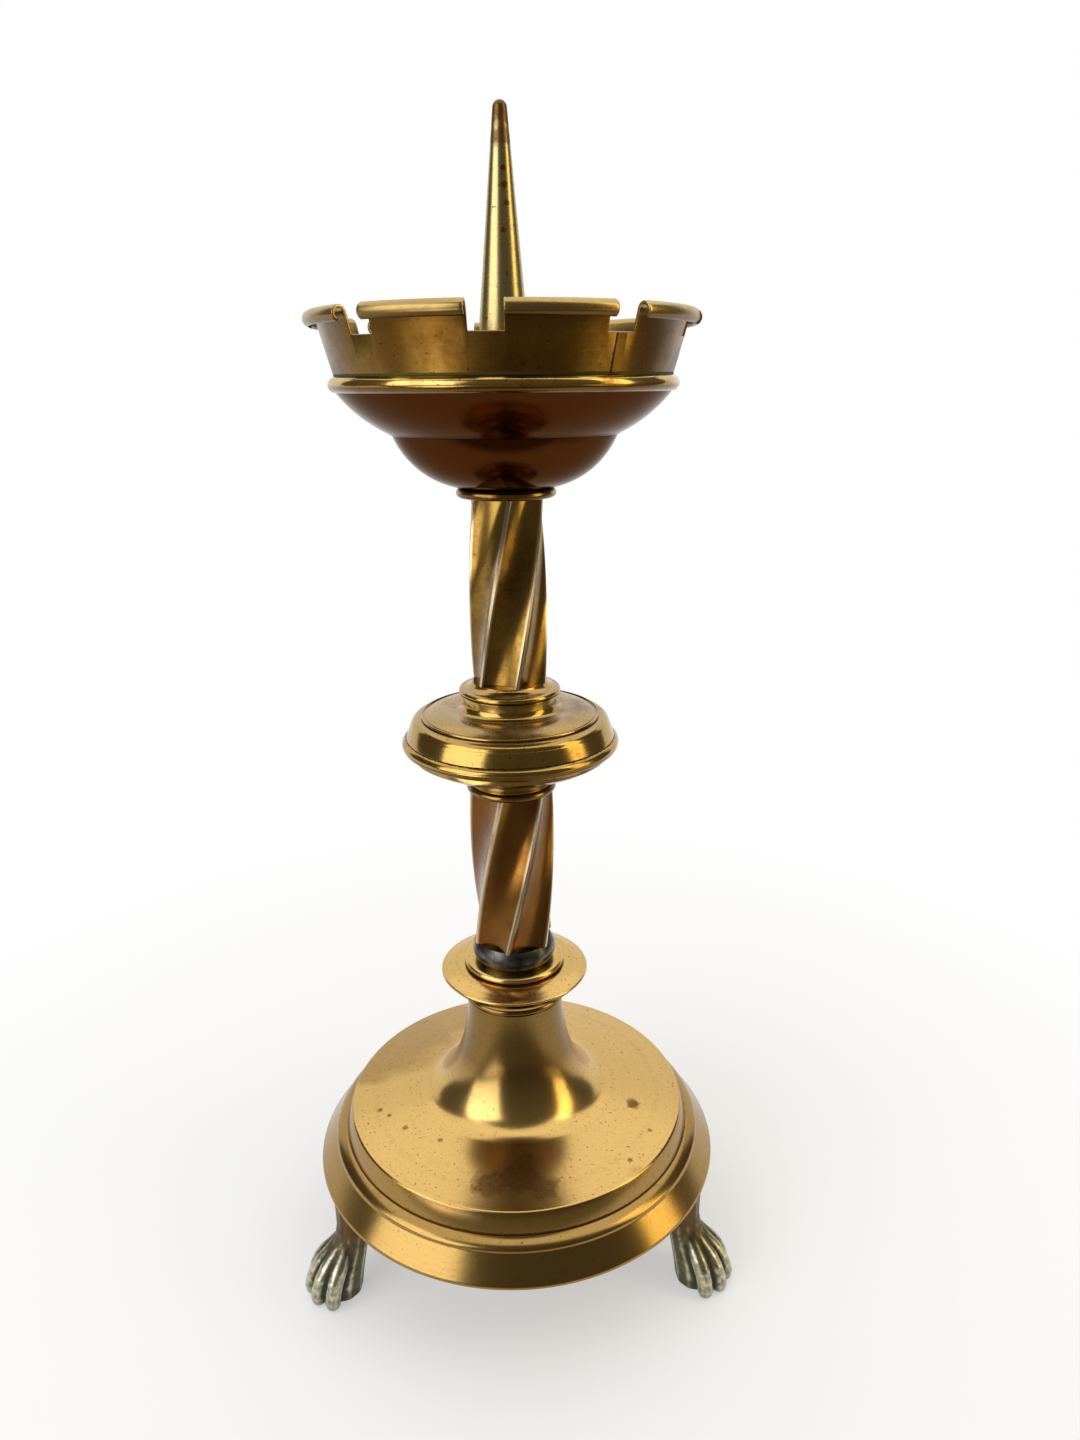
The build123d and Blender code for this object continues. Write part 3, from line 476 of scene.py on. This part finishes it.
# Spun brass under an old brown skin: a deep, glossy red brown, darkened further as painted shade, also at the edges
# where clean brass mirrors white
bowl_brass = aged_brass("spun_brass_toned_and_shaded", "#552C0F", "#371806", "#46240B", 30, (0.35, 0.7), 0.1, 0.2)
bowl_brass.node_tree.nodes["Principled BSDF"].inputs["Specular Tint"].default_value = linear("#D4CEC8")
turned("cup", "pan_cup", (
    (bore_r, 0), bow((13.8, 0), (33.8, 15.6), 3.35), (32.3, 15.6), bow((32.3, 15.6), (13.8, 1.5), -3.35), (bore_r, 1.5),
), bowl_brass, "bowl_brass")
turned("bowl", "pan_bowl", (
    (bore_r, 0), (34.3, 0, 0.6), bow((34.9, 0.5), (49.5, 12.3), 1.1), (49.5, 14.3), (48.3, 14.3),
    bow((48.3, 12.3), (34.3, 1.5), -1.1), (bore_r, 1.5),
), bowl_brass, "bowl_brass")
# Rolled sheet brass, satin from wiping: brown gold with a paler curl, a painted highlight, and green dirt along the
# belt
belt_joint = ((303.5, 0.45, "#4E4F2C"),)
gallery_brass = aged_brass(
    "rolled_brass_satin", "#AE8A42", "#6E4A18", "#553812", 20, (0.35, 0.7), 0.22, 0.36, joints=belt_joint
)
# painted highlight: the rolled curl is laid paler
tone_between(gallery_brass, 319.6, 330, 2.6, "#D2B878", 0.5)
# Drawn brass wire, rubbed bright by every cleaning: a clear yellow line round the pan
belt_brass = aged_brass("drawn_brass_rubbed", "#CFAB60", "#70491A", "#573813", 10, (0.5, 0.75), 0.14, 0.3)
turned("belt", "pan_belt", (bow((49.55, 0), (49.55, 4.4), 1.95),), belt_brass, "gallery_brass")

# Gallery: a strip of brass sheet bent into a leaning ring, its top edge rolled outward over a former and then cut
# down between the battlements. The ends lap in a soldered seam at the right.
wall_t = 0.9
wall_foot_r = 49.05
notch_floor = (51.83, 12.4)
curl = (55.06, 17.6, 1.75, 1.75, 164.7, -75)
notches = 9
notch_angle = 10
gallery_steps = 360
mesh = bmesh.new()
wall = ((wall_foot_r, 0), (wall_foot_r, 2.2, 0.8), notch_floor, curl)
half_section(mesh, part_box("pan_gallery")[0].z, wall, closed=False)
first_cut = radians(-99.8)
bmesh.ops.rotate(mesh, verts=mesh.verts[:], cent=(0, 0, 0), matrix=Matrix.Rotation(first_cut, 3, "Z"))
bmesh.ops.spin(
    mesh, geom=mesh.verts[:] + mesh.edges[:], cent=(0, 0, 0), axis=(0, 0, 1), angle=2 * pi, steps=gallery_steps,
    use_merge=True,
)
bmesh.ops.recalc_face_normals(mesh, faces=mesh.faces[:])
floor_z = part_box("pan_gallery")[0].z + notch_floor[1] * MM
cut_away = []
for face in mesh.faces:
    middle = face.calc_center_median()
    along = degrees(atan2(middle.y, middle.x) - first_cut) % (360 / notches)
    if middle.z > floor_z and along < notch_angle:
        cut_away.append(face)
bmesh.ops.delete(mesh, geom=cut_away, context="FACES")
gallery = fit_piece(mesh, "gallery", gallery_brass, "stand", "gallery_brass", "pan_gallery")
sheet = gallery.modifiers.new("sheet", "SOLIDIFY")
sheet.thickness = wall_t * MM
sheet.offset = 0
filed = gallery.modifiers.new("filed", "BEVEL")
filed.width = 0.16 * MM
filed.segments = 2
filed.limit_method = "ANGLE"
filed.angle_limit = radians(50)

lap_thick = 0.22
lap_start = radians(-56.5)
lap_span = radians(3.5)
lap = bmesh.new()
half_section(lap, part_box("pan_gallery")[0].z, ((49.7, 2.4), (52.3, 12.2)), closed=False)
bmesh.ops.rotate(lap, verts=lap.verts[:], cent=(0, 0, 0), matrix=Matrix.Rotation(lap_start, 3, "Z"))
bmesh.ops.spin(lap, geom=lap.verts[:] + lap.edges[:], cent=(0, 0, 0), axis=(0, 0, 1), angle=lap_span, steps=6)
bmesh.ops.recalc_face_normals(lap, faces=lap.faces[:])
bmesh.ops.solidify(lap, geom=lap.faces[:], thickness=lap_thick * MM)
bmesh.ops.recalc_face_normals(lap, faces=lap.faces[:])
fit_piece(lap, "gallery_lap", gallery_brass, "stand", "gallery_brass")

# Pricket and washer: a turned brass spike on a plain washer, screwed on the top of the rod so that it clamps the
# pan. Candles have rubbed it dull and pale, and its point has gone coppery.
# Turned brass, dulled by wax and candles: pale straw with a few dark spots and a coppery point
spike_spots = (
    (0.7, -3.35, 357.7, 0.9, 0.95), (0.9, -3.7, 353.4, 1.1, 0.95), (1.6, -3.9, 348.9, 0.9, 0.95),
    (0.4, -4.8, 342, 0.8, 0.9), (0, 0, 372, 5, 0.9), (0, -1, 366, 3.4, 0.8),
)
spike_brass = aged_brass("turned_brass_dull", "#BCA972", "#6A4420", "#8A7440", 7, (0.62, 0.95), 0.26, 0.42, spike_spots)
tapped_r = 4.02
turned("spike_washer", "pricket_washer", (
    (bore_r, 0.03), (12.5, 0.03, 0.2), (12.5, 1.6, 0.3), (bore_r, 1.6),
), spike_brass, "spike_brass", "washer")
turned("spike", "pricket", (
    (0, 13.3), (tapped_r, 13.3), (tapped_r, 0), (9.5, 0, 0.5), (0, 83.05, 2.05, 2.05, 0, 90),
), spike_brass, "spike_brass", "pricket", closed=False)

# Hidden iron: the tie rod, the nut and washer under the neck and the studs of the feet are plain black iron, and
# stay as they were made.
hidden_iron = bpy.data.materials.new("wrought_iron_black")
hidden_iron.use_nodes = True
tree = hidden_iron.node_tree
surface = tree.nodes["Principled BSDF"]
surface.inputs["Metallic"].default_value = 1.0
place = add(tree, "TexCoord", {}, "Object")
# Forge-black iron with brown rust in small blooms, dull all over
rust = add(tree, "TexNoise", {"Vector": place, "Scale": 1000 / 3, "Detail": 5.0}, "Fac")
rust = add(tree, "MapRange", {"Value": rust, "From Min": 0.48, "From Max": 0.62}, "Result")
scale_colour = add(tree, "Mix", {0: rust, 6: linear("#4A4642"), 7: linear("#5A3620")}, 2, data_type="RGBA")
tree.links.new(scale_colour, surface.inputs["Base Color"])
matt = add(tree, "MapRange", {"Value": rust, "To Min": 0.45, "To Max": 0.75}, "Result")
tree.links.new(matt, surface.inputs["Roughness"])
for node in ("tie_rod", "base_nut", "base_washer", "foot_studs"):
    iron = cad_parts[node].data
    iron.materials.clear()
    iron.materials.append(hidden_iron)

# Camera: a phone held at the height of the pan, 0.32 m in front of the stand's axis, and tilted down.
camera = bpy.data.objects.new("camera", bpy.data.cameras.new("camera"))
bpy.context.scene.collection.objects.link(camera)
camera.data.sensor_width = 36
camera.data.lens = 25.64
camera.data.clip_start = 0.01
pitch, yaw, roll = radians(18.2), radians(1.75), radians(-0.45)
ahead = Vector((sin(yaw) * cos(pitch), cos(yaw) * cos(pitch), -sin(pitch)))
level = Vector((cos(yaw), -sin(yaw), 0))
upright = level.cross(ahead)
right = cos(roll) * level + sin(roll) * upright
upward = cos(roll) * upright - sin(roll) * level
turn = Matrix((right, upward, -ahead)).transposed()
camera.matrix_world = Matrix.Translation((0, -0.3195, 0.3013)) @ turn.to_4x4()
bpy.context.scene.camera = camera

# Floor and backdrop: one sheet of matt white paper that sweeps up behind the stand.
mesh = bmesh.new()
edge = mesh.verts.new((-2.2, -2.0, 0))
corner = mesh.verts.new((-2.2, 1.6, 0))
top = mesh.verts.new((-2.2, 1.6, 1.5))
mesh.edges.new((edge, corner))
mesh.edges.new((corner, top))
bmesh.ops.bevel(
    mesh, geom=[corner], offset=0.6, offset_type="OFFSET", segments=16, profile=0.5, affect="VERTICES", material=-1
)
drawn = bmesh.ops.extrude_edge_only(mesh, edges=mesh.edges[:])
far_side = [part for part in drawn["geom"] if isinstance(part, bmesh.types.BMVert)]
bmesh.ops.translate(mesh, verts=far_side, vec=(4.4, 0, 0))
bmesh.ops.recalc_face_normals(mesh, faces=mesh.faces[:])
sweep = bpy.data.meshes.new("paper_sweep")
mesh.to_mesh(sweep)
mesh.free()
sweep.shade_smooth()
# Matt paper: the eye sees it white with a soft shadow round the feet, and the brass mirrors it grey at the front
paper = bpy.data.materials.new("paper_graduated")
paper.use_nodes = True
tree = paper.node_tree
surface = tree.nodes["Principled BSDF"]
place = add(tree, "TexCoord", {}, "Object")
flat = add(tree, "VectorMath", {0: place, 1: (1, 1, 0)}, operation="MULTIPLY")
nearer = add(tree, "SeparateXYZ", {0: place}, "Y")
from_foot = add(tree, "VectorMath", {0: flat}, "Value", operation="LENGTH")
eased = {"interpolation_type": "SMOOTHSTEP"}
front = add(tree, "MapRange", {"Value": nearer, "From Min": -0.10, "From Max": -0.20}, "Result", **eased)
aside = add(tree, "VectorMath", {0: place, 1: (0.64, -0.77, 0)}, "Value", operation="DOT_PRODUCT")
aside = add(tree, "MapRange", {"Value": aside, "From Min": 0.2, "From Max": 0.36}, "Result", **eased)
front = add(tree, "Math", {0: front, 1: aside}, operation="MAXIMUM")
unseen = add(tree, "Math", {0: 1.0, 1: add(tree, "LightPath", {}, "Is Camera Ray")}, operation="SUBTRACT")
front = add(tree, "Math", {0: front, 1: unseen}, operation="MULTIPLY")
shade = add(tree, "Mix", {0: front, 6: linear("#F4F3F1"), 7: linear("#85807A")}, 2, data_type="RGBA")
tree.links.new(shade, surface.inputs["Base Color"])
surface.inputs["Roughness"].default_value = 0.9
surface.inputs["Specular IOR Level"].default_value = 0.1
seen = add(tree, "LightPath", {}, "Is Camera Ray")
seen = add(tree, "Math", {0: seen, 1: add(tree, "LightPath", {}, "Is Glossy Ray")}, operation="MAXIMUM")
seen = add(tree, "Math", {0: seen, 1: add(tree, "LightPath", {}, "Is Transmission Ray")}, operation="MAXIMUM")
clear = add(tree, "MapRange", {"Value": from_foot, "From Min": 0.08, "From Max": 0.36, "To Min": 0.45}, "Result")
white = add(tree, "Math", {0: 1.0, 1: front}, operation="SUBTRACT")
white = add(tree, "Math", {0: white, 1: clear}, operation="MULTIPLY")
white = add(tree, "Math", {0: white, 1: seen}, operation="MULTIPLY")
glow = add(tree, "Emission", {"Color": (1, 1, 1, 1), "Strength": 1.0})
sheet_look = add(tree, "MixShader", {0: white, 1: surface.outputs[0], 2: glow})
tree.links.new(sheet_look, tree.nodes["Material Output"].inputs["Surface"])
sweep.materials.append(paper)
backdrop = bpy.data.objects.new("paper_sweep", sweep)
bpy.context.scene.collection.objects.link(backdrop)

# Light: a broad soft ceiling towards the back, a window-like panel and a card on the floor at the front left, and a
# warm panel with a card at the right. Each has its place, aim, width, height, watts and colour.
panels = {
    "ceiling": ((0, 1.0, 2.0), (0, 1.0, 0), 4.0, 4.0, 58, "#FFFFFF"),
    "window": ((-0.96, -0.72, 0.62), (0, 0, 0.3), 1.1, 1.1, 10.5, "#F6FAFF"),
    "warm_panel": ((1.07, -0.27, 0.6), (0, 0, 0.3), 0.4, 1.1, 4.2, "#FFEBAE"),
    "bounce_card": ((-0.47, -0.5, 0.01), (-0.47, -0.5, 1), 0.4, 0.4, 2.0, "#FFFFFF"),
    "warm_card": ((0.74, -0.28, 0.01), (0.74, -0.28, 1), 0.4, 0.4, 0.6, "#FFEBAE"),
}
for name, (spot, aim, wide, tall, watts, colour) in panels.items():
    lamp = bpy.data.lights.new(name, "AREA")
    lamp.shape = "RECTANGLE"
    lamp.size = wide
    lamp.size_y = tall
    lamp.energy = watts
    lamp.color = linear(colour)[:3]
    panel = bpy.data.objects.new(name, lamp)
    panel.location = spot
    panel.rotation_euler = (Vector(spot) - Vector(aim)).to_track_quat("Z", "Y").to_euler()
    panel.visible_camera = False
    bpy.context.scene.collection.objects.link(panel)
# The room: dim warm-grey walls to the brass, and plain white to the camera
room = bpy.data.worlds.new("room")
room.use_nodes = True
seen = add(room.node_tree, "LightPath", {}, "Is Camera Ray")
walls = add(room.node_tree, "Mix", {0: seen, 6: linear("#5F5B54"), 7: (1, 1, 1, 1)}, 2, data_type="RGBA")
room.node_tree.links.new(walls, room.node_tree.nodes["Background"].inputs["Color"])
room.node_tree.nodes["Background"].inputs["Strength"].default_value = 1.0
bpy.context.scene.world = room
bpy.context.scene.view_settings.view_transform = "Standard"
